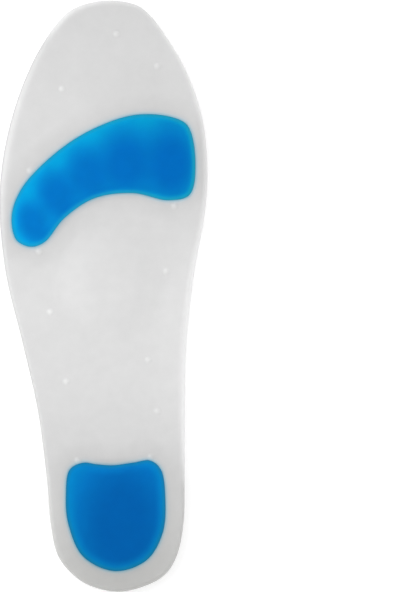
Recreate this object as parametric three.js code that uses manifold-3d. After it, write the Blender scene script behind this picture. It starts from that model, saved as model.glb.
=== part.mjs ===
import * as THREE from 'three';
import { mergeVertices } from 'three/addons/utils/BufferGeometryUtils.js';
import Module from 'manifold-3d';

const wasm = await Module();
wasm.setup();
const { clamp, degToRad, lerp, smoothstep } = THREE.MathUtils;

// A full-length silicone insole for a left foot, lying with its flat underside on z = 0.
// X runs from the outer (lateral) to the arch (medial) side, Y from heel to toe. Sizes are in millimetres.

const LENGTH = 260;
const GAP = 0.3; // between a gel pad and the pocket that holds it

// The outline: the two edges at each station, which is counted from the back of the heel.
const OUTLINE = [
  { station: 0, medial: 6, lateral: 6 },
  { station: 3, medial: 19.2, lateral: -6.9 },
  { station: 8, medial: 27.3, lateral: -14.2 },
  { station: 16, medial: 32.1, lateral: -20.3 },
  { station: 30, medial: 35, lateral: -23.5 },
  { station: 50, medial: 35.5, lateral: -25.2 },
  { station: 80, medial: 35.6, lateral: -29.2 },
  { station: 110, medial: 36.4, lateral: -36 },
  { station: 140, medial: 39.8, lateral: -43.2 },
  { station: 170, medial: 44.9, lateral: -46 },
  { station: 190, medial: 45.4, lateral: -44.5 },
  { station: 210, medial: 42.9, lateral: -40.1 },
  { station: 230, medial: 35.7, lateral: -32.7 },
  { station: 245, medial: 26.7, lateral: -24.3 },
  { station: 254, medial: 19.7, lateral: -16.8 },
  { station: 258, medial: 14.2, lateral: -9.7 },
  { station: 260, medial: 2.8, lateral: 2.8 },
];

// The cross-sections: thickness along the middle, rise of the rims above it, how far the rims reach inwards,
// width of the rounded top edge, and how far the underside draws in below that edge. Pairs: medial, lateral.
const SECTIONS = [
  { station: 0, middle: 6.6, rims: [-0.9, -0.9], reach: 14, roundings: [1.6, 1.6], undercut: 2 },
  { station: 40, middle: 6.4, rims: [-1.2, -0.7], reach: 14, roundings: [1.6, 1.8], undercut: 2 },
  { station: 75, middle: 5.6, rims: [2, -0.2], reach: 20, roundings: [3, 1.4], undercut: 2.4 },
  { station: 105, middle: 4.8, rims: [2.4, 0], reach: 22, roundings: [3.4, 1.4], undercut: 2.6 },
  { station: 140, middle: 4.2, rims: [1.5, 0], reach: 20, roundings: [3, 1.8], undercut: 1.8 },
  { station: 175, middle: 3.8, rims: [0.2, 0], reach: 12, roundings: [2.2, 3.8], undercut: 0.8 },
  { station: 215, middle: 3.2, rims: [0, 0], reach: 12, roundings: [2, 3.6], undercut: 0.8 },
  { station: 260, middle: 2.4, rims: [0, 0], reach: 12, roundings: [2, 2.6], undercut: 0.6 },
];
const EDGE_SHARE = 0.35; // height of the widest line of the edge, as a share of the rim's height
const RIM_START = 0.6; // where the rim begins to fall inwards, as a share of the rounding
const SIDE_BLEND = 20; // the lateral side turns into the medial one between minus and plus this x

// The low dome behind the ball of the foot.
const DOME = { x: 2.6, y: 5.5, halfWidth: 26, halfLength: 27, height: 3.2, plateau: 0.3 };

// The pad under the ball of the foot: its front and rear edge on both sides of each metatarsal head, from the
// end under the big toe to the end under the little toe.
const METATARSAL_EDGES = [
  { front: [40.2, 57], rear: [40.2, 57] },
  { front: [37, 74.5], rear: [37.6, 44.4] },
  { front: [30.4, 78.4], rear: [28.4, 42] },
  { front: [13.5, 79.5], rear: [12.5, 45.2] },
  { front: [-6.9, 72.3], rear: [-4.4, 42.8] },
  { front: [-23.7, 60.7], rear: [-17.5, 34] },
  { front: [-36.3, 46.9], rear: [-26, 23.7] },
  { front: [-40.5, 35], rear: [-32, 21.6] },
  { front: [-38.4, 24.6], rear: [-38.4, 24.6] },
];

// Its five thicker lobes, one under each metatarsal head, turned with the pad, and how thick each gets as a
// share of the pad's full thickness.
const LOBES = [
  { x: 29.4, y: 58, halfWidth: 14.4, halfLength: 21, turn: 0, share: 1 },
  { x: 10, y: 58.3, halfWidth: 15, halfLength: 18.3, turn: 3, share: 0.95 },
  { x: -7, y: 53, halfWidth: 11, halfLength: 15, turn: 12, share: 0.85 },
  { x: -20.3, y: 43.8, halfWidth: 10.3, halfLength: 13.5, turn: 18, share: 0.84 },
  { x: -30.9, y: 31.8, halfWidth: 7.9, halfLength: 11.8, turn: 24, share: 0.77 },
];
const LOBE_FADE = { from: 0.3, to: 1.35 }; // a lobe thins out between these shares of its half sizes

// The heel pad: its lateral and medial edge from the hollow front to the round back, and its one lobe, under
// the heel bone.
const HEEL_EDGES = [
  { lateral: [4, -74.2], medial: [4, -74.2] },
  { lateral: [-3, -73.8], medial: [13.2, -73] },
  { lateral: [-9, -73.1], medial: [20.2, -72.1] },
  { lateral: [-14.9, -76.1], medial: [25, -76] },
  { lateral: [-16.6, -88], medial: [27, -89] },
  { lateral: [-15.5, -100], medial: [25.8, -104] },
  { lateral: [-9, -114.2], medial: [18.8, -115.8] },
  { lateral: [5, -120.6], medial: [5, -120.6] },
];
const HEEL_LOBES = [{ x: 8.5, y: -101, halfWidth: 24.5, halfLength: 37, turn: 0, share: 1 }];

// How deep each pad sits at its edge and at its thickest, how far it swells above the sole, and how far in
// from its edge it takes to reach its full thickness.
const METATARSAL_PAD = { edgeDepth: 1.2, fullDepth: 2.2, crown: 0.45, taper: 3 };
const HEEL_PAD = { edgeDepth: 2, fullDepth: 4, crown: 0.6, taper: 5 };

// The moulding pips on the top face, each a low button with a root in the sole.
const PIP = { radius: 1.8, height: 0.42, root: 0.8, shoulder: 0.6, sides: 8 };
const PIP_SPOTS = [
  { x: 5.5, y: 115 },
  { x: 23.5, y: 101 },
  { x: -18.5, y: 91 },
  { x: -32.5, y: 55 },
  { x: 31, y: 39.5 },
  { x: -28.5, y: 19.5 },
  { x: 27.5, y: 11 },
  { x: -23.5, y: -7 },
  { x: 19.5, y: -28 },
  { x: -16.5, y: -37.5 },
  { x: 23.5, y: -50.5 },
  { x: 20.5, y: -70.5 },
  { x: -11.5, y: -72 },
];

// Facets: steps between two rows of an outline, and rings from its edge to its middle line.
const STEPS = { body: 4, metatarsal: 5, heel: 5 };
const MIDDLE_LINE_END = 0.13; // the middle line stops this share of its length short of each tip
const EDGE_RINGS = [0, 0.12, 0.45, 1]; // shares of the rounding
const SOLE_RINGS = [0.16, 0.33, 0.5, 0.67, 0.84, 1]; // shares of the way to the middle line
const PAD_RINGS = [0, 0.08, 0.18, 0.36, 0.56, 0.76, 1];
const SIDE_TURNS = [Math.PI / 3, Math.PI / 6]; // from the widest line down to the underside
const POCKET_TOP = 15; // above every part of the sole

// A closed outline through the two sides of its rows, as a loop of points that runs anticlockwise, with each
// point's partner on the middle line.
function pairedOutline(firstSide, secondSide, steps) {
  const corners = [...firstSide, ...secondSide.slice(1, -1).reverse()];
  const curve = new THREE.CatmullRomCurve3(corners.map(([x, y]) => new THREE.Vector3(x, y)), true);
  const loop = curve.getPoints(corners.length * steps).slice(0, -1);
  const half = loop.length / 2;
  const across = (i) => loop[(loop.length - i) % loop.length];
  const middleLine = new THREE.CatmullRomCurve3(
    loop.slice(0, half + 1).map((point, i) => point.clone().lerp(across(i), 0.5)),
  );
  const lengths = middleLine.getLengths(half);
  const middle = loop.map((_, i) => {
    const share = lengths[Math.min(i, loop.length - i)] / lengths[half];
    return middleLine.getPointAt(lerp(MIDDLE_LINE_END, 1 - MIDDLE_LINE_END, share));
  });
  return { loop, middle };
}

const bodyOutline = pairedOutline(
  OUTLINE.map(({ station, medial }) => [medial, station - LENGTH / 2]),
  OUTLINE.map(({ station, lateral }) => [lateral, station - LENGTH / 2]),
  STEPS.body,
);
const metatarsalOutline = pairedOutline(
  METATARSAL_EDGES.map(({ front }) => front),
  METATARSAL_EDGES.map(({ rear }) => rear),
  STEPS.metatarsal,
);
const heelOutline = pairedOutline(
  HEEL_EDGES.map(({ lateral }) => lateral),
  HEEL_EDGES.map(({ medial }) => medial),
  STEPS.heel,
);

// The loop moved inwards by a distance for each of its points, or outwards where that is negative.
function insetLoop(loop, distanceAt) {
  return loop.map((point, i) => {
    const along = loop[(i + 1) % loop.length].clone().sub(loop.at(i - 1)).normalize();
    const inwards = new THREE.Vector3(-along.y, along.x, 0);
    return point.clone().addScaledVector(inwards, distanceAt(point));
  });
}

function distanceToLoop(loop, spot) {
  const flatSpot = new THREE.Vector3(spot.x, spot.y, 0);
  const nearest = new THREE.Vector3();
  const distances = loop.map((start, i) => {
    new THREE.Line3(start, loop[(i + 1) % loop.length]).closestPointToPoint(flatSpot, true, nearest);
    return nearest.distanceTo(flatSpot);
  });
  return Math.min(...distances);
}

// The cross-section at a point, read off the smooth curves through the rows of the table.
const sectionRows = SECTIONS.map(({ middle, rims, reach, roundings, undercut }) => (
  [middle, ...rims, reach, ...roundings, undercut]
));
const sectionCurves = new THREE.CubicInterpolant(
  SECTIONS.map(({ station }) => station),
  sectionRows.flat(),
  sectionRows[0].length,
);

function sectionAt({ x, y }) {
  const sizes = sectionCurves.evaluate(y + LENGTH / 2);
  const [middle, medialRim, lateralRim, reach, medialRounding, lateralRounding, undercut] = sizes;
  const side = smoothstep(x, -SIDE_BLEND, SIDE_BLEND);
  const rim = lerp(lateralRim, medialRim, side);
  const rounding = lerp(lateralRounding, medialRounding, side);
  return { middle, rim, reach, rounding, undercut, edge: EDGE_SHARE * (middle + rim) };
}

function domeHeight({ x, y }) {
  const spread = Math.hypot((x - DOME.x) / DOME.halfWidth, (y - DOME.y) / DOME.halfLength);
  return DOME.height * (1 - smoothstep(spread, DOME.plateau, 1));
}

// Height of the sole's top face: the middle, the rims, the dome and the rounded edge.
function soleTop(spot) {
  const { middle, rim, edge, reach, rounding } = sectionAt(spot);
  const inset = distanceToLoop(bodyOutline.loop, spot);
  const inRim = clamp((reach - inset) / (reach - RIM_START * rounding), 0, 1);
  const crest = middle + rim * inRim ** 2 + domeHeight(spot);
  const outwards = 1 - Math.min(inset / rounding, 1);
  return edge + (crest - edge) * Math.sqrt(1 - outwards ** 2);
}

// How full a pad is at a point: 0 at its edge and 1 where it is thickest. Lobes run together where they meet.
function fullnessIn({ loop }, { taper }, lobes) {
  return (spot) => {
    const hollows = lobes.map(({ x, y, halfWidth, halfLength, turn, share }) => {
      const offset = new THREE.Vector2(spot.x - x, spot.y - y);
      offset.rotateAround(new THREE.Vector2(), -degToRad(turn));
      const spread = Math.hypot(offset.x / halfWidth, offset.y / halfLength);
      return 1 - share * (1 - smoothstep(spread, LOBE_FADE.from, LOBE_FADE.to));
    });
    const inLobes = 1 - hollows.reduce((product, hollow) => product * hollow, 1);
    return inLobes * smoothstep(distanceToLoop(loop, spot), 0, taper);
  };
}

// A loop of points lifted onto a surface, given as a height for each spot.
function liftLoop(loop, heightAt) {
  return loop.map((point) => new THREE.Vector3(point.x, point.y, heightAt(point)));
}

function ringsToMiddle(loop, middle, shares) {
  return shares.map((share) => loop.map((point, i) => point.clone().lerp(middle[i], share)));
}

// A closed geometry over a stack of loops, whose first and last loop lie folded flat on a middle line.
function skinLoops(loops) {
  const count = loops[0].length;
  const positions = loops.flat().flatMap((point) => point.toArray());
  const indices = [];
  for (let level = 0; level + 1 < loops.length; level += 1) {
    for (let i = 0; i < count; i += 1) {
      const low = level * count + i;
      const lowNext = level * count + ((i + 1) % count);
      indices.push(low, lowNext, lowNext + count);
      indices.push(low, lowNext + count, low + count);
    }
  }
  const geometry = new THREE.BufferGeometry();
  geometry.setAttribute('position', new THREE.Float32BufferAttribute(positions, 3));
  geometry.setIndex(indices);
  return geometry;
}

function toSolid(geometry) {
  geometry.deleteAttribute('normal');
  geometry.deleteAttribute('uv');
  const welded = mergeVertices(geometry);
  return new wasm.Manifold(new wasm.Mesh({
    numProp: 3,
    vertProperties: new Float32Array(welded.attributes.position.array),
    triVerts: new Uint32Array(welded.index.array),
  }));
}

function toGeometry(solid) {
  const { vertProperties, triVerts } = solid.getMesh();
  const geometry = new THREE.BufferGeometry();
  geometry.setAttribute('position', new THREE.BufferAttribute(vertProperties, 3));
  geometry.setIndex(new THREE.BufferAttribute(triVerts, 1));
  geometry.computeVertexNormals();
  return geometry;
}

// The sole without its pockets: flat underside, drawn-in side, rounded edge and shaped top.
function soleBlank() {
  const { loop, middle } = bodyOutline;
  const flat = insetLoop(loop, (point) => sectionAt(point).undercut);
  const underside = ringsToMiddle(flat, middle, [1, 0]);
  const sides = SIDE_TURNS.map((turn) => {
    const drawnIn = insetLoop(loop, (point) => sectionAt(point).undercut * (1 - Math.cos(turn)));
    return drawnIn.map((point, i) => point.setZ(sectionAt(loop[i]).edge * (1 - Math.sin(turn))));
  });
  const edge = EDGE_RINGS.map((share) => insetLoop(loop, (point) => share * sectionAt(point).rounding));
  const top = [...edge, ...ringsToMiddle(edge.at(-1), middle, SOLE_RINGS)];
  return toSolid(skinLoops([...underside, ...sides, ...top.map((ring) => liftLoop(ring, soleTop))]));
}

// A solid over a pad's outline, grown by a margin, between a floor and a roof surface.
function padSolid({ loop, middle }, margin, floor, roof) {
  const grown = insetLoop(loop, () => -margin);
  const rings = ringsToMiddle(grown, middle, PAD_RINGS);
  const lower = rings.toReversed().map((ring) => liftLoop(ring, floor));
  const upper = rings.map((ring) => liftLoop(ring, roof));
  return toSolid(skinLoops([...lower, ...upper]));
}

// A gel pad and the cutter for its pocket in the sole.
function makePad(outline, pad, lobes) {
  const { edgeDepth, fullDepth, crown } = pad;
  const fullness = fullnessIn(outline, pad, lobes);
  const floor = (spot) => soleTop(spot) - lerp(edgeDepth, fullDepth, fullness(spot));
  const roof = (spot) => soleTop(spot) + crown * fullness(spot);
  return {
    pad: padSolid(outline, 0, floor, roof),
    pocket: padSolid(outline, GAP, (spot) => floor(spot) - GAP, () => POCKET_TOP),
  };
}

function makePip(spot) {
  const { radius, height, root, shoulder, sides } = PIP;
  const profile = [
    [0, -root],
    [radius, -root],
    [radius, 0],
    [shoulder * radius, shoulder * height],
    [0, height],
  ];
  const geometry = new THREE.LatheGeometry(profile.map(([r, z]) => new THREE.Vector2(r, z)), sides);
  geometry.rotateX(Math.PI / 2);
  geometry.translate(spot.x, spot.y, soleTop(spot));
  return toSolid(geometry);
}

const metatarsal = makePad(metatarsalOutline, METATARSAL_PAD, LOBES);
const heel = makePad(heelOutline, HEEL_PAD, HEEL_LOBES);
const blank = PIP_SPOTS.map(makePip).reduce((body, pip) => body.add(pip), soleBlank());
const sole = blank.subtract(metatarsal.pocket).subtract(heel.pocket);

const silicone = new THREE.MeshStandardMaterial({ color: 0xdcdcdc, roughness: 0.45, metalness: 0 });
const forefootGel = new THREE.MeshStandardMaterial({ color: 0x0a7cc8, roughness: 0.4, metalness: 0 });
const heelGel = new THREE.MeshStandardMaterial({ color: 0x0569b2, roughness: 0.4, metalness: 0 });

const insole = new THREE.Group();
for (const [name, solid, material] of [
  ['insole_body', sole, silicone],
  ['metatarsal_pad', metatarsal.pad, forefootGel],
  ['heel_pad', heel.pad, heelGel],
]) {
  const mesh = new THREE.Mesh(toGeometry(solid), material);
  mesh.name = name;
  insole.add(mesh);
}

export default insole;
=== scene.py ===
"""A full-length silicone insole for a left foot: a translucent sole with two blue gel pads set into it."""

import math
from collections import namedtuple

import bmesh
import bpy
import numpy as np
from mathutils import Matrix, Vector
from mathutils.geometry import delaunay_2d_cdt


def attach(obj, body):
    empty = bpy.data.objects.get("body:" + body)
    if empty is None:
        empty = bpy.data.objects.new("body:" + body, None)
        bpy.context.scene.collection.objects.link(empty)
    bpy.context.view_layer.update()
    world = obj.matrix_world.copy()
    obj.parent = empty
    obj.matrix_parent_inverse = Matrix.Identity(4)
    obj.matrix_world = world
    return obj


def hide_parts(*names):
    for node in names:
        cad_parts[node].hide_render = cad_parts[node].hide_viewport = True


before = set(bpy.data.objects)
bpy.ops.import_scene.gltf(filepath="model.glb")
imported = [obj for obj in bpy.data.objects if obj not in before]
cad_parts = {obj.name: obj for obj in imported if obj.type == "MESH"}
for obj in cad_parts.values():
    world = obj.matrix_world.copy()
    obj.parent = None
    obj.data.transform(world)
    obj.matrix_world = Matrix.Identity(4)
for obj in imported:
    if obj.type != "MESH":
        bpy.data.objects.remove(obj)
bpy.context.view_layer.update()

# Shape tables, in millimetres: X from the outer (lateral) to the arch (medial) side, Y from heel to toe.
MM = 0.001  # in metres
LENGTH = 260.0

# The outline's two edges at each station, which is counted from the back of the heel.
Edge = namedtuple("Edge", "station medial lateral")
OUTLINE = [
    Edge(0, 6, 6),
    Edge(3, 19.2, -6.9),
    Edge(8, 27.3, -14.2),
    Edge(16, 32.1, -20.3),
    Edge(30, 35, -23.5),
    Edge(50, 35.5, -25.2),
    Edge(80, 35.6, -29.2),
    Edge(110, 36.4, -36),
    Edge(140, 39.8, -43.2),
    Edge(170, 44.9, -46),
    Edge(190, 45.4, -44.5),
    Edge(210, 42.9, -40.1),
    Edge(230, 35.7, -32.7),
    Edge(245, 26.7, -24.3),
    Edge(254, 19.7, -16.8),
    Edge(258, 14.2, -9.7),
    Edge(260, 2.8, 2.8),
]

# The cross-sections: thickness along the middle, rise of each rim above it, how far the rims reach inwards,
# width of the rounded top edge on each side, and how far the underside draws in below that edge.
Section = namedtuple(
    "Section", "station middle medial_rim lateral_rim reach medial_round lateral_round undercut"
)
SECTIONS = [
    Section(0, 6.6, -0.9, -0.9, 14, 1.6, 1.6, 2.0),
    Section(40, 6.4, -1.2, -0.7, 14, 1.6, 1.8, 2.0),
    Section(75, 5.6, 2.0, -0.2, 20, 3.0, 1.4, 2.4),
    Section(105, 4.8, 2.4, 0.0, 22, 3.4, 1.4, 2.6),
    Section(140, 4.2, 1.5, 0.0, 20, 3.0, 1.8, 1.8),
    Section(175, 3.8, 0.2, 0.0, 12, 2.2, 3.8, 0.8),
    Section(215, 3.2, 0.0, 0.0, 12, 2.0, 3.6, 0.8),
    Section(260, 2.4, 0.0, 0.0, 12, 2.0, 2.6, 0.6),
]
EDGE_SHARE = 0.35  # height of the widest line of the edge, as a share of the rim's height
RIM_START = 0.6  # where the rim begins to fall inwards, as a share of the rounding
SIDE_BLEND = 20.0  # the lateral side's values turn into the medial side's between minus and plus this x

# The low dome behind the ball of the foot. The plateau is the share of its half sizes that has full height.
Dome = namedtuple("Dome", "x y half_width half_length height plateau")
DOME = Dome(2.6, 5.5, 26, 27, 3.2, 0.3)

# The metatarsal pad's front and rear edge, from the end under the big toe to the end under the little toe.
METATARSAL_FRONT = [
    (40.2, 57), (37, 74.5), (30.4, 78.4), (13.5, 79.5), (-6.9, 72.3),
    (-23.7, 60.7), (-36.3, 46.9), (-40.5, 35), (-38.4, 24.6),
]
METATARSAL_REAR = [
    (37.6, 44.4), (28.4, 42), (12.5, 45.2), (-4.4, 42.8), (-17.5, 34), (-26, 23.7), (-32, 21.6),
]

# The heel pad's lateral and medial edge, from the hollow front to the round back.
HEEL_LATERAL = [
    (4, -74.2), (-3, -73.8), (-9, -73.1), (-14.9, -76.1),
    (-16.6, -88), (-15.5, -100), (-9, -114.2), (5, -120.6),
]
HEEL_MEDIAL = [(13.2, -73), (20.2, -72.1), (25, -76), (27, -89), (25.8, -104), (18.8, -115.8)]

# The pads' thicker lobes, turned in degrees: one under each metatarsal head and one under the heel bone.
Lobe = namedtuple("Lobe", "x y half_width half_length turn share")
METATARSAL_LOBES = [
    Lobe(29.4, 58, 14.4, 21, 0, 1.0),
    Lobe(10, 58.3, 15, 18.3, 3, 0.95),
    Lobe(-7, 53, 11, 15, 12, 0.85),
    Lobe(-20.3, 43.8, 10.3, 13.5, 18, 0.84),
    Lobe(-30.9, 31.8, 7.9, 11.8, 24, 0.77),
]
HEEL_LOBES = [Lobe(8.5, -101, 24.5, 37, 0, 1.0)]
LOBE_FADE = (0.3, 1.35)  # a lobe thins out between these shares of its half sizes

# How deep a pad sits at its edge and at its thickest, how far it swells above the sole, and how far in from
# its edge it takes to reach its full thickness.
Sizes = namedtuple("Sizes", "edge_depth full_depth crown taper")
METATARSAL_SIZES = Sizes(1.2, 2.2, 0.45, 3)
HEEL_SIZES = Sizes(2.0, 4.0, 0.6, 5)
SEAM_GAP = 0.03  # between a pad and its pocket
SEAM_DIP = 0.02  # depth of the fine groove where they meet
SEAM_WIDTH = 0.25  # and how far it spreads to each side

# The moulding pips on the top face.
PIP_RADIUS = 1.8
PIP_HEIGHT = 0.42
PIP_FADE = (0.1, 1.1)  # a pip falls to the sole between these shares of its radius
PIP_SPOTS = [
    (5.5, 115), (23.5, 101), (-18.5, 91), (-32.5, 55), (31, 39.5), (-28.5, 19.5), (27.5, 11),
    (-23.5, -7), (19.5, -28), (-16.5, -37.5), (23.5, -50.5), (20.5, -70.5), (-11.5, -72),
]

# Painted light and shade on the rounded edge: how much paler (to 1) or greyer (to -1) than the sole it is on
# each side at each station, and how strong the painted dark line of shade at the very edge is.
Tint = namedtuple("Tint", "station medial lateral medial_line lateral_line")
EDGE_LIGHT_AND_SHADE = [
    Tint(0, -0.5, -0.4, 0.0, 0.0),
    Tint(45, -0.45, -0.2, 0.1, 0.1),
    Tint(62, 1.0, -0.3, 0.4, 0.6),
    Tint(110, 1.0, -0.4, 0.4, 0.6),
    Tint(145, 1.0, -0.1, 0.4, 0.9),
    Tint(165, 0.9, 0.3, 0.2, 1.1),
    Tint(200, 0.75, 0.3, 0.0, 1.2),
    Tint(225, 0.55, 0.3, 0.0, 1.0),
    Tint(240, 0.5, 0.0, 0.0, 0.8),
    Tint(252, 0.3, 0.7, 0.1, 0.3),
    Tint(260, 0.2, 0.6, 0.2, 0.3),
]
TINT_FADE = (0.2, 1.15)  # the tint fades out between these shares of the rounded edge's width
SIDE_FADE = 2.0  # and this much faster down the side than over the top
LINE_WIDTH = 0.6
NO_TINT = {"edge_tint": 0.5, "edge_line": 0}
PIP_PALENESS_AND_LIGHT = (0.24, 0.11)  # how much paler the pips are on the lateral and the medial side: their own paler tone, and painted light on the lateral side, toward the lamp
CLEAR_OF_PADS = 10.0  # this far from a pad the sole gets no painted shade from it

# The shaded places by the pads: the rear hollow, the medial end and the medial front of the one at the ball,
# and the front hollow of the one at the heel.
SHADES = [
    Lobe(-20.5, 30.8, 12, 2.9, 46, 0.9),
    Lobe(-6, 42.2, 13, 2.9, 24, 0.9),
    Lobe(10, 45.2, 11, 2.9, 4, 0.6),
    Lobe(47, 62, 8, 24, 0, 0.9),
    Lobe(21, 88, 30, 15, -12, 0.35),
    Lobe(5, -74, 13, 2.8, 0, 0.8),
]
SHADE_TINT = 0.14  # how much greyer the sole is there
SHADE_DEPTH = 0.3  # how much fuller the gel's colour is made there, as painted shade

# Fineness of the meshes: steps between two corners of a loop and down the side, grid widths, and distances
# of extra rings of points from an edge. The pips' rings are shares of their radius.
OUTLINE_STEPS = 14
PAD_STEPS = 16
SIDE_STEPS = 6
GRID = 1.1
UNDERSIDE_GRID = 3.0
EDGE_RINGS = (0.04, 0.12, 0.25, 0.45, 0.7, 1.0, 1.4, 1.9, 2.5, 3.2, 4.0, 4.9)
SEAM_RINGS = (0.12, 0.3, 0.55, 0.95, 1.5)
PIP_RINGS = (0.15, 0.3, 0.45, 0.6, 0.75, 0.9, 1.1, 1.3)
PIP_SIDES = 18
PIP_MARGIN = 2.9  # the grid stays this far from the middle of a pip
SHARP_ANGLE = 40  # in degrees, from which an edge isn't shaded smooth
BLOCK = 2000  # points measured at a time
INSIDE_LOOP = 1  # the triangulation's mode that keeps what lies inside the first loop
SAME_POINT = 1e-7  # points closer than this are one


def linear(red, green, blue):
    """A display colour of 0 to 255 as the linear colour that shaders take, by the sRGB curve."""
    def channel(value):
        value /= 255
        return value / 12.92 if value <= 0.04045 else ((value + 0.055) / 1.055) ** 2.4
    return (channel(red), channel(green), channel(blue), 1)


def grey(level):
    return linear(level, level, level)


# The sole's tones multiply each other. Each row is a place on a scale of 0 to 1 and the tone there.
# Painted light and shade over the rounded edge: greyer at 0, the sole's own tone at 0.5, paler at 1.
SOLE_EDGE_LIGHT_AND_SHADE_TONES = [(0, linear(196, 196, 195)), (0.5, grey(235)), (1, grey(255))]
# A painted dark line of shade at the very edge of the outline.
SOLE_SHADE_LINE_TONES = [(0, grey(255)), (1, linear(223, 223, 224))]
# Painted shade along the length, from the heel at 0 to the toe at 1: darkest at the heel, a little darker at
# the toe.
SOLE_LENGTH_SHADE_TONES = [
    (0, linear(220, 220, 218)),
    (0.12, linear(239, 239, 238)),
    (0.24, grey(244)),
    (0.34, grey(251)),
    (0.5, grey(254)),
    (0.62, grey(247)),
    (0.82, grey(249)),
    (1, grey(242)),
]
# Painted shade near the pads, over the distance from their edge as a share of CLEAR_OF_PADS, with a painted
# blue fringe of light scattered from the gel right at the edge.
SOLE_PAD_LIGHT_AND_SHADE_TONES = [
    (0, linear(165, 226, 248)),
    (0.05, linear(200, 233, 247)),
    (0.1, linear(230, 240, 246)),
    (0.16, linear(241, 243, 245)),
    (0.3, grey(247)),
    (1, grey(255)),
]

# The gel's tones from its thinnest to its thickest places and its rim's tone, at one end of a pad.
# The ends differ by painted light and shade: the metatarsal pad's lateral end, toward the lamp, is paler and
# the heel pad's back, its rim too, darker.
Gel = namedtuple("Gel", "thin half thick rim")
METATARSAL_LATERAL = Gel(
    linear(4, 178, 240), linear(4, 144, 223), linear(1, 113, 206), linear(34, 164, 211)
)
METATARSAL_MEDIAL = Gel(
    linear(6, 176, 219), linear(4, 144, 208), linear(0, 114, 199), linear(38, 156, 186)
)
HEEL_BACK = Gel(
    linear(4, 139, 198), linear(3, 119, 191), linear(1, 101, 180), linear(28, 124, 162)
)
HEEL_FRONT = Gel(
    linear(4, 145, 217), linear(3, 122, 203), linear(1, 102, 183), linear(28, 134, 182)
)

# Painted light and shade: the axis along which a pad's tones turn from one end's to the other's, and where
# the turn starts and stops.
Turn = namedtuple("Turn", "axis start stop first second")
METATARSAL_LIGHT_TURN = Turn("X", -41, 41, METATARSAL_LATERAL, METATARSAL_MEDIAL)
HEEL_SHADE_TURN = Turn("Y", -121, -72, HEEL_BACK, HEEL_FRONT)

# How much of the rim's tone shows at each share of the width in from a pad's edge.
GEL_RIM_WIDTH = 4.0
GEL_RIM_SHARE = [(0, (0.9, 0.9, 0.9, 1)), (0.15, (0.65, 0.65, 0.65, 1)), (0.45, (0, 0, 0, 1))]

# Faint clouds in a material: how many noise cells a metre holds, and how dim the darkest are.
Cloud = namedtuple("Cloud", "scale dim")
SOLE_CLOUD = Cloud(170, 251)
GEL_CLOUD = Cloud(190, 249)
CLOUD_RANGE = (0.3, 0.7)  # the noise levels of the darkest and of the palest
CLOUD_DETAIL = 4
CLOUD_ROUGHNESS = 0.6

# A surface's range of roughness, its gloss, the strength of its grain, and how much light scatters below it,
# in which colours and how far in metres. The scales again count noise cells in a metre.
Finish = namedtuple("Finish", "roughness specular grain scatter radius reach")
SOLE_FINISH = Finish((0.36, 0.48), 0.35, 0.12, 0.7, (1.0, 1.0, 1.0), 0.0014)
GEL_FINISH = Finish((0.34, 0.46), 0.03, 0.1, 0.25, (0.3, 0.7, 1.0), 0.0015)
SILICONE_IOR = 1.41
SATIN_SCALE = 420
SATIN_DETAIL = 3
GRAIN_SCALE = 2600
GRAIN_DEPTH = 0.0001

# The studio and the camera, in metres.
FLOOR_HALF = 4.0
FLOOR_LEVEL = -0.0003
FLOOR_TONE = (0.95, 0.95, 0.95, 1)
FLOOR_ROUGHNESS = 0.9
FLOOR_GLOW = 0.26
WHITE = (1, 1, 1, 1)
HORIZON_LIGHT = 0.95
OVERHEAD_LIGHT = 0.75
LAMP_SIZE = 0.9
LAMP_POWER = 4.0
LAMP_PLACE = (-0.9, 0.4, 0.85)
FRAME_HIGH = 0.2602  # what the camera sees from top to bottom
FRAME_MIDDLE = 0.04615  # x of the frame's middle, which lies beside the insole's arch
FRAME_LEVEL = 0.002  # the height at which that holds
CAMERA_DISTANCE = 1.6
SENSOR = 36  # in millimetres


def smoothstep(x, low, high):
    t = np.clip((x - low) / (high - low), 0, 1)
    return t * t * (3 - 2 * t)


def closed_curve(corners, steps):
    """A smooth closed loop through the corners, with a number of points between two of them."""
    corners = np.array(corners, float)
    before, here, after, beyond = (np.roll(corners, shift, axis=0) for shift in (1, 0, -1, -2))
    gaps = [np.sqrt(np.linalg.norm(b - a, axis=1))[:, None]
            for a, b in ((before, here), (here, after), (after, beyond))]

    def slope(a, b, c, first, second):
        return ((b - a) / first - (c - a) / (first + second) + (c - b) / second) * gaps[1]

    leave = slope(before, here, after, gaps[0], gaps[1])
    arrive = slope(here, after, beyond, gaps[1], gaps[2])
    t = (np.arange(steps) / steps)[None, :, None]
    here, after, leave, arrive = (a[:, None, :] for a in (here, after, leave, arrive))
    curve = here + t * leave
    curve = curve + t**2 * (3 * (after - here) - 2 * leave - arrive)
    curve = curve + t**3 * (2 * (here - after) + leave + arrive)
    return curve.reshape(-1, 2)


def inset(loop, distance):
    """The loop moved inwards by a distance, or by one for each of its points."""
    along = np.roll(loop, -1, axis=0) - np.roll(loop, 1, axis=0)
    along /= np.linalg.norm(along, axis=1)[:, None]
    inwards = np.stack([-along[:, 1], along[:, 0]], axis=1)
    return loop + inwards * np.broadcast_to(distance, len(loop))[:, None]


def in_blocks(measure):
    """Runs a measure of many points against a loop in blocks, to save memory."""
    def run(loop, points):
        blocks = np.array_split(points, max(1, len(points) // BLOCK))
        return np.concatenate([measure(loop, block) for block in blocks])
    return run


@in_blocks
def distance_to(loop, points):
    side = np.roll(loop, -1, axis=0) - loop
    away = points[:, None, :] - loop[None]
    t = np.clip((away * side).sum(2) / (side**2).sum(1), 0, 1)
    return np.linalg.norm(away - t[..., None] * side, axis=2).min(1)


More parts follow.
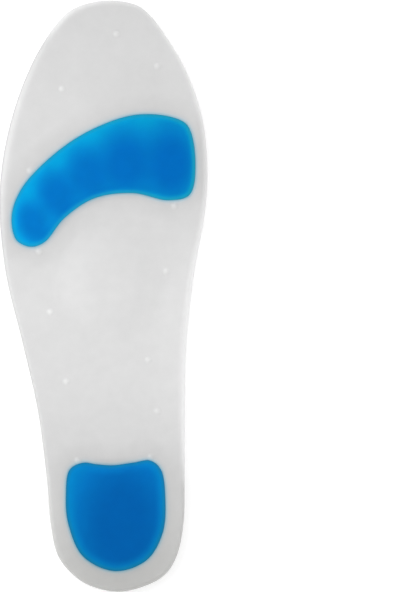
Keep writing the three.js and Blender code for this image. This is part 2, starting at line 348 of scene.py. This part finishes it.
@in_blocks
def inside(loop, points):
    start, end = loop[None], np.roll(loop, -1, axis=0)[None]
    x, y = points[:, 0, None], points[:, 1, None]
    spans = (start[..., 1] > y) != (end[..., 1] > y)
    rise = np.where(end[..., 1] == start[..., 1], 1, end[..., 1] - start[..., 1])
    crossing = start[..., 0] + (y - start[..., 1]) / rise * (end[..., 0] - start[..., 0])
    return (spans & (x < crossing)).sum(1) % 2 == 1


OUTLINE_LOOP = closed_curve(
    [(row.medial, row.station - LENGTH / 2) for row in OUTLINE]
    + [(row.lateral, row.station - LENGTH / 2) for row in OUTLINE[-2:0:-1]],
    OUTLINE_STEPS,
)
Pad = namedtuple("Pad", "loop sizes lobes")
METATARSAL_PAD = Pad(
    closed_curve(METATARSAL_FRONT + METATARSAL_REAR[::-1], PAD_STEPS), METATARSAL_SIZES, METATARSAL_LOBES
)
HEEL_PAD = Pad(closed_curve(HEEL_LATERAL + HEEL_MEDIAL[::-1], PAD_STEPS), HEEL_SIZES, HEEL_LOBES)
PADS = (METATARSAL_PAD, HEEL_PAD)


def section_at(points):
    """The cross-section's sizes at each point, on smooth curves through the rows of the table."""
    table = np.array(SECTIONS, float)
    at, values = table[:, 0], table[:, 1:]
    station = np.clip(points[:, 1] + LENGTH / 2, at[0], at[-1])
    chord = np.diff(values, axis=0) / np.diff(at)[:, None]
    slope = np.vstack([chord[:1], (chord[:-1] + chord[1:]) / 2, chord[-1:]])
    row = np.clip(np.searchsorted(at, station, side="right") - 1, 0, len(at) - 2)
    span = (at[row + 1] - at[row])[:, None]
    t = ((station - at[row]) / span[:, 0])[:, None]
    low, high = values[row], values[row + 1]
    sizes = low * (1 + 2 * t) * (1 - t) ** 2 + high * t**2 * (3 - 2 * t)
    sizes = sizes + span * (slope[row] * t * (1 - t) ** 2 - slope[row + 1] * t**2 * (1 - t))
    return Section(station, *sizes.T)


def across(points, lateral, medial):
    """A value that turns from the lateral side's to the medial side's over the middle."""
    return lateral + (medial - lateral) * smoothstep(points[:, 0], -SIDE_BLEND, SIDE_BLEND)


def rim_and_rounding(points, section):
    """The rim's rise and the width of the rounded edge on the side that each point lies on."""
    rim = across(points, section.lateral_rim, section.medial_rim)
    rounding = across(points, section.lateral_round, section.medial_round)
    return rim, rounding


def edge_height(points):
    section = section_at(points)
    return EDGE_SHARE * (section.middle + rim_and_rounding(points, section)[0])


def sole_top(points):
    """Height of the sole's top face, without its pips."""
    section = section_at(points)
    rim, rounding = rim_and_rounding(points, section)
    edge = EDGE_SHARE * (section.middle + rim)
    depth = distance_to(OUTLINE_LOOP, points)
    x, y = (points - (DOME.x, DOME.y)).T
    spread = np.hypot(x / DOME.half_width, y / DOME.half_length)
    dome = DOME.height * (1 - smoothstep(spread, DOME.plateau, 1))
    inner = np.clip((section.reach - depth) / (section.reach - RIM_START * rounding), 0, 1)
    crest = section.middle + rim * inner**2 + dome
    outwards = 1 - np.minimum(depth / rounding, 1)
    return edge + (crest - edge) * np.sqrt(1 - outwards**2)


def pip_height(points):
    height = np.zeros(len(points))
    for spot in PIP_SPOTS:
        away = np.linalg.norm(points - spot, axis=1) / PIP_RADIUS
        height += PIP_HEIGHT * (1 - smoothstep(away, *PIP_FADE))
    return height


def lobe_fullness(points, lobes):
    """How far each point lies in some lobes, from 0 to 1. Lobes run together where they meet."""
    hollow = np.ones(len(points))
    for lobe in lobes:
        x, y = (points - (lobe.x, lobe.y)).T
        turn = math.radians(lobe.turn)
        wide = (x * math.cos(turn) + y * math.sin(turn)) / lobe.half_width
        long = (y * math.cos(turn) - x * math.sin(turn)) / lobe.half_length
        hollow *= 1 - lobe.share * (1 - smoothstep(np.hypot(wide, long), *LOBE_FADE))
    return 1 - hollow


def pad_fullness(pad, points):
    """How full a pad is at each point, from 0 at its edge to 1 where it is thickest."""
    taper = smoothstep(distance_to(pad.loop, points), 0, pad.sizes.taper)
    return taper * lobe_fullness(points, pad.lobes)


def pad_depth(pad, fullness):
    """How deep a pad reaches below the sole's top face."""
    return pad.sizes.edge_depth + (pad.sizes.full_depth - pad.sizes.edge_depth) * fullness


def pad_distance(points):
    """Distance from each point to the nearest pad's edge."""
    return np.minimum(*(distance_to(pad.loop, points) for pad in PADS))


def seam_dip(distance):
    return SEAM_DIP * np.exp(-((distance / SEAM_WIDTH) ** 2))


def edge_tint(points, depth):
    """Painted light and shade on the sole at a depth inside its outline, where 0.5 is its own tone, with
    painted shade by the pads, and its edge's painted dark line.
    """
    section = section_at(points)
    stations, *columns = np.array(EDGE_LIGHT_AND_SHADE).T
    row = Tint(section.station, *(np.interp(section.station, stations, column) for column in columns))
    rounding = rim_and_rounding(points, section)[1]
    fade = 1 - smoothstep(depth / rounding, *TINT_FADE)
    painted_tint = 0.5 + 0.5 * fade * across(points, row.lateral, row.medial)
    shade_line = across(points, row.lateral_line, row.medial_line) * np.exp(-((depth / LINE_WIDTH) ** 2))
    return {"edge_tint": painted_tint - SHADE_TINT * lobe_fullness(points, SHADES), "edge_line": shade_line}


def grid_in(loop, step, margin):
    """Staggered grid points inside a loop, clear of its edge by a margin."""
    low, high = loop.min(0), loop.max(0)
    columns = np.arange(low[0], high[0], step)
    rows = []
    for i, y in enumerate(np.arange(low[1], high[1], step * math.sqrt(3) / 2)):
        rows.append(np.column_stack([columns + (i % 2) * step / 2, np.full(len(columns), y)]))
    points = np.concatenate(rows)
    return points[inside(loop, points) & (distance_to(loop, points) > margin + step / 2)]


def triangulate(loops, fill):
    """Triangles over the first loop, with every loop's sides kept as edges.

    The points of the loops come first, in order, and then those of the fill."""
    points = np.concatenate([*loops, fill])
    sides, start = [], 0
    for loop in loops:
        sides += [(start + i, start + (i + 1) % len(loop)) for i in range(len(loop))]
        start += len(loop)
    border = list(range(len(loops[0])))
    made = delaunay_2d_cdt([Vector(p) for p in points], sides, [border], INSIDE_LOOP, SAME_POINT)
    _, _, faces, origins, _, _ = made
    return points, np.array([[origins[v][0] for v in face] for face in faces])


def strip(low, high):
    """Quads between two rows of vertex numbers that go round."""
    return [(a, b, d, c) for a, b, c, d in zip(low, np.roll(low, -1), high, np.roll(high, -1))]


class Skin:
    """Collects vertices, faces and vertex values of one mesh piece."""

    def __init__(self):
        self.points, self.faces, self.values, self.count = [], [], {}, 0

    def add(self, plan, height, **values):
        """Adds points over the plan and gives their vertex numbers."""
        self.points.append(np.column_stack([plan, np.broadcast_to(height, len(plan))]))
        for name, value in values.items():
            self.values.setdefault(name, []).append(np.broadcast_to(value, len(plan)))
        self.count += len(plan)
        return np.arange(self.count - len(plan), self.count)

    def build(self, name, material):
        mesh = bpy.data.meshes.new(name)
        points = np.concatenate(self.points) * MM
        mesh.from_pydata(points.tolist(), [], [tuple(int(v) for v in face) for face in self.faces])
        for key, parts in self.values.items():
            attribute = mesh.attributes.new(key, "FLOAT", "POINT")
            attribute.data.foreach_set("value", np.concatenate(parts).astype(np.float32))
        work = bmesh.new()
        work.from_mesh(mesh)
        bmesh.ops.delete(work, geom=[v for v in work.verts if not v.link_faces], context="VERTS")
        bmesh.ops.recalc_face_normals(work, faces=work.faces)
        work.to_mesh(mesh)
        work.free()
        mesh.shade_smooth()
        mesh.set_sharp_from_angle(angle=math.radians(SHARP_ANGLE))
        mesh.materials.append(material)
        piece = bpy.data.objects.new(name, mesh)
        bpy.context.scene.collection.objects.link(piece)
        return piece


def sole_fill(pockets):
    """The points inside the sole's outline that its mesh goes through."""
    rings = [inset(OUTLINE_LOOP, d) for d in EDGE_RINGS]
    seams = [inset(pocket, -d) for pocket in pockets for d in SEAM_RINGS]
    angles = np.arange(PIP_SIDES) * 2 * math.pi / PIP_SIDES
    circle = np.stack([np.cos(angles), np.sin(angles)], 1)
    spots = np.array(PIP_SPOTS, float)
    pips = [spot + circle * r * PIP_RADIUS for spot in spots for r in PIP_RINGS]
    grid = grid_in(OUTLINE_LOOP, GRID, EDGE_RINGS[-1])
    pip_distance = np.min([np.linalg.norm(grid - spot, axis=1) for spot in spots], axis=0)
    clear_of_pips = pip_distance > PIP_MARGIN
    clear_of_pads = pad_distance(grid) > SEAM_RINGS[-1] + GRID / 2
    return np.concatenate([*rings, *seams, spots, *pips, grid[clear_of_pips & clear_of_pads]])


def add_top(skin):
    """Adds the sole's top face and its two pockets, and gives the vertices along the outline."""
    pockets = [inset(pad.loop, -SEAM_GAP) for pad in PADS]
    plan, triangles = triangulate([OUTLINE_LOOP, *pockets], sole_fill(pockets))
    middles = plan[triangles].mean(1)
    in_pocket = [inside(pocket, middles) for pocket in pockets]
    level, pips, from_pads = sole_top(plan), pip_height(plan), pad_distance(plan)
    painted_tint = edge_tint(plan, distance_to(OUTLINE_LOOP, plan))
    # Paler pips: their own tone, with painted light making the lateral ones, toward the lamp, paler still.
    painted_tint["edge_tint"] += across(plan, *PIP_PALENESS_AND_LIGHT) * pips / PIP_HEIGHT
    upper = skin.add(plan, level + pips - seam_dip(from_pads), pad_distance=from_pads, **painted_tint)
    skin.faces += upper[triangles[~np.any(in_pocket, axis=0)]].tolist()
    start = len(OUTLINE_LOOP)
    for pad, pocket, in_this in zip(PADS, pockets, in_pocket):
        depth = pad_depth(pad, pad_fullness(pad, plan)) + SEAM_GAP
        lower = skin.add(plan, level - depth, pad_distance=0, **NO_TINT)
        skin.faces += lower[triangles[in_this]].tolist()
        rim = np.arange(start, start + len(pocket))
        skin.faces += strip(lower[rim], upper[rim])
        start += len(pocket)
    return upper[: len(OUTLINE_LOOP)]


def add_side(skin, above):
    """Adds the side that rounds in under the outline, and gives its last loop and the vertices there."""
    undercut, edge = section_at(OUTLINE_LOOP).undercut, edge_height(OUTLINE_LOOP)
    from_pads = pad_distance(OUTLINE_LOOP)
    for turn in np.linspace(0, math.pi / 2, SIDE_STEPS + 1)[1:]:
        loop = inset(OUTLINE_LOOP, undercut * (1 - math.cos(turn)))
        painted_tint = edge_tint(loop, edge * math.sin(turn) * SIDE_FADE)
        below = skin.add(loop, edge * (1 - math.sin(turn)), pad_distance=from_pads, **painted_tint)
        skin.faces += strip(below, above)
        above = below
    return loop, above


def add_underside(skin, loop, rim):
    plan, triangles = triangulate([loop], grid_in(loop, UNDERSIDE_GRID, 0))
    inner = skin.add(plan[len(loop):], 0, pad_distance=CLEAR_OF_PADS, **NO_TINT)
    skin.faces += np.concatenate([rim, inner])[triangles].tolist()


def make_sole(material):
    skin = Skin()
    outline = add_top(skin)
    loop, rim = add_side(skin, outline)
    add_underside(skin, loop, rim)
    return skin.build("silicone_sole", material)


def make_pad(name, pad, material):
    rings = [inset(pad.loop, d) for d in SEAM_RINGS]
    grid = grid_in(pad.loop, GRID, SEAM_RINGS[-1])
    plan, triangles = triangulate([pad.loop], np.concatenate([*rings, grid]))
    level, full, from_edge = sole_top(plan), pad_fullness(pad, plan), distance_to(pad.loop, plan)
    # Painted shade: at the shaded places by the pads the gel's colour is taken fuller than the pad is.
    fullness_and_shade = np.minimum(1, full + SHADE_DEPTH * lobe_fullness(plan, SHADES))
    skin = Skin()
    values = {"fullness": fullness_and_shade, "edge_depth": from_edge}
    upper = skin.add(plan, level + pad.sizes.crown * full - seam_dip(from_edge), **values)
    lower = skin.add(plan, level - pad_depth(pad, full), **values)
    skin.faces += upper[triangles].tolist() + lower[triangles[:, ::-1]].tolist()
    skin.faces += strip(lower[: len(pad.loop)], upper[: len(pad.loop)])
    return skin.build(name, material)


class Shader:
    """A material's node tree, with a short way to add nodes."""

    def __init__(self, name):
        self.material = bpy.data.materials.new(name)
        self.material.use_nodes = True
        self.tree = self.material.node_tree
        self.surface = self.tree.nodes["Principled BSDF"]

    def node(self, kind, inputs=(), **settings):
        made = self.tree.nodes.new("ShaderNode" + kind)
        for key, value in settings.items():
            setattr(made, key, value)
        for key, value in dict(inputs).items():
            self.put(made, key, value)
        return made

    def put(self, node, key, value):
        if isinstance(value, bpy.types.NodeSocket):
            self.tree.links.new(value, node.inputs[key])
        else:
            node.inputs[key].default_value = value

    def attribute(self, name):
        return self.node("Attribute", attribute_name=name).outputs["Fac"]

    def share(self, name, whole):
        """An attribute as a share of a whole."""
        return self.node("Math", {0: self.attribute(name), 1: 1 / whole}, operation="MULTIPLY").outputs[0]

    def ramp(self, factor, stops):
        made = self.node("ValToRGB", {"Fac": factor})
        made.color_ramp.interpolation = "LINEAR"
        while len(made.color_ramp.elements) < len(stops):
            made.color_ramp.elements.new(1)
        for element, (position, color) in zip(made.color_ramp.elements, stops):
            element.position, element.color = position, color
        return made.outputs["Color"]

    def place(self, axis, low, high):
        """How far a point lies between two places, given in millimetres, along an axis."""
        place = self.node("TexCoord").outputs["Object"]
        along = self.node("SeparateXYZ", {0: place}).outputs[axis]
        inputs = {"Value": along, "From Min": low * MM, "From Max": high * MM}
        return self.node("MapRange", inputs).outputs[0]

    def mix(self, share, first, second, way="MIX"):
        inputs = {"Fac": share, "Color1": first, "Color2": second}
        return self.node("MixRGB", inputs, blend_type=way).outputs[0]

    def product(self, first, *others):
        for other in others:
            first = self.mix(1.0, first, other, "MULTIPLY")
        return first

    def noise(self, scale, detail=2.0, roughness=0.5):
        place = self.node("TexCoord").outputs["Object"]
        inputs = {"Vector": place, "Scale": scale, "Detail": detail, "Roughness": roughness}
        return self.node("TexNoise", inputs).outputs["Fac"]

    def clouds(self, cloud):
        low, high = CLOUD_RANGE
        noise = self.noise(cloud.scale, CLOUD_DETAIL, CLOUD_ROUGHNESS)
        return self.ramp(noise, [(low, grey(cloud.dim)), (high, grey(255))])

    def finish(self, color, look):
        """Sets the surface: its colour, a patchy satin gloss, a fine grain and the scattering below it."""
        low, high = look.roughness
        patches = self.noise(SATIN_SCALE, SATIN_DETAIL)
        satin = self.node("MapRange", {"Value": patches, "To Min": low, "To Max": high}).outputs[0]
        grain = {"Height": self.noise(GRAIN_SCALE), "Strength": look.grain, "Distance": GRAIN_DEPTH}
        for key, value in {
            "Base Color": color,
            "Roughness": satin,
            "Normal": self.node("Bump", grain).outputs[0],
            "IOR": SILICONE_IOR,
            "Specular IOR Level": look.specular,
            "Subsurface Weight": look.scatter,
            "Subsurface Radius": look.radius,
            "Subsurface Scale": look.reach,
        }.items():
            self.put(self.surface, key, value)


def silicone_material():
    """Clear silicone clouded by scattering.

    Painted light and shade change its tone over the rounded edge, in a fine dark line at the outline, along
    its length and near the pads, where a painted blue fringe stands for light scattered from the gel."""
    shader = Shader("translucent_silicone")
    edge = shader.ramp(shader.attribute("edge_tint"), SOLE_EDGE_LIGHT_AND_SHADE_TONES)
    shade_line = shader.ramp(shader.attribute("edge_line"), SOLE_SHADE_LINE_TONES)
    along = shader.ramp(shader.place("Y", -LENGTH / 2, LENGTH / 2), SOLE_LENGTH_SHADE_TONES)
    pad_light_and_shade = shader.ramp(shader.share("pad_distance", CLEAR_OF_PADS), SOLE_PAD_LIGHT_AND_SHADE_TONES)
    shader.finish(shader.product(edge, shade_line, along, pad_light_and_shade, shader.clouds(SOLE_CLOUD)), SOLE_FINISH)
    return shader.material


def gel_material(name, turn):
    """Blue gel, deeper where the pad is thicker and where shade is painted, with a thin dull rim where it
    meets the sole.

    Its tones turn from one end's to the other's along an axis, as painted light and shade."""
    shader = Shader(name)
    rim = shader.ramp(shader.share("edge_depth", GEL_RIM_WIDTH), GEL_RIM_SHARE)
    tones = []
    for gel in (turn.first, turn.second):
        fullness_and_shade = shader.ramp(shader.attribute("fullness"), [(0, gel.thin), (0.5, gel.half), (1, gel.thick)])
        tones.append(shader.mix(rim, fullness_and_shade, gel.rim))
    # Painted light and shade: the tones turn from one end's to the other's.
    color = shader.mix(shader.place(turn.axis, turn.start, turn.stop), *tones)
    shader.finish(shader.product(color, shader.clouds(GEL_CLOUD)), GEL_FINISH)
    return shader.material


def floor_material():
    shader = Shader("white_floor")
    for key, value in {
        "Base Color": FLOOR_TONE,
        "Roughness": FLOOR_ROUGHNESS,
        "Specular IOR Level": 0.0,
        "Emission Color": WHITE,
        "Emission Strength": FLOOR_GLOW,
    }.items():
        shader.put(shader.surface, key, value)
    return shader.material


def make_floor():
    ways = ((-1, -1), (1, -1), (1, 1), (-1, 1))
    corners = [(x * FLOOR_HALF, y * FLOOR_HALF, FLOOR_LEVEL) for x, y in ways]
    mesh = bpy.data.meshes.new("floor")
    mesh.from_pydata(corners, [], [(0, 1, 2, 3)])
    mesh.materials.append(floor_material())
    floor = bpy.data.objects.new("floor", mesh)
    bpy.context.scene.collection.objects.link(floor)


def make_sky():
    """A white studio, a little brighter at the horizon than overhead."""
    world = bpy.data.worlds.new("studio")
    world.use_nodes = True
    nodes, links = world.node_tree.nodes, world.node_tree.links
    height = nodes.new("ShaderNodeSeparateXYZ")
    links.new(nodes.new("ShaderNodeTexCoord").outputs["Generated"], height.inputs[0])
    strength = nodes.new("ShaderNodeMapRange")
    strength.inputs["To Min"].default_value = HORIZON_LIGHT
    strength.inputs["To Max"].default_value = OVERHEAD_LIGHT
    links.new(height.outputs["Z"], strength.inputs["Value"])
    links.new(strength.outputs[0], nodes["Background"].inputs["Strength"])
    nodes["Background"].inputs["Color"].default_value = WHITE
    bpy.context.scene.world = world


def make_lamp():
    """A large soft lamp on the lateral side, turned to the middle of the insole."""
    key = bpy.data.lights.new("key", "AREA")
    key.size, key.energy = LAMP_SIZE, LAMP_POWER
    lamp = bpy.data.objects.new("key", key)
    lamp.location = LAMP_PLACE
    lamp.rotation_euler = (-lamp.location).to_track_quat("-Z", "Y").to_euler()
    bpy.context.scene.collection.objects.link(lamp)


def make_camera():
    """Looks straight down on the middle of the frame."""
    data = bpy.data.cameras.new("camera")
    data.sensor_width = SENSOR
    data.lens = SENSOR * CAMERA_DISTANCE / FRAME_HIGH
    camera = bpy.data.objects.new("camera", data)
    camera.location = (FRAME_MIDDLE, 0, CAMERA_DISTANCE + FRAME_LEVEL)
    bpy.context.scene.collection.objects.link(camera)
    bpy.context.scene.camera = camera


make_camera()
sole = make_sole(silicone_material())
forefoot = make_pad("metatarsal_gel", METATARSAL_PAD, gel_material("forefoot_blue_gel", METATARSAL_LIGHT_TURN))
heel = make_pad("heel_gel", HEEL_PAD, gel_material("heel_blue_gel", HEEL_SHADE_TURN))
for piece, node, slot in (
    (sole, "insole_body", "clear_silicone"),
    (forefoot, "metatarsal_pad", "forefoot_gel"),
    (heel, "heel_pad", "heel_gel"),
):
    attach(piece, "root")
    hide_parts(node)
make_floor()
make_sky()
make_lamp()
bpy.context.scene.view_settings.view_transform = "Standard"
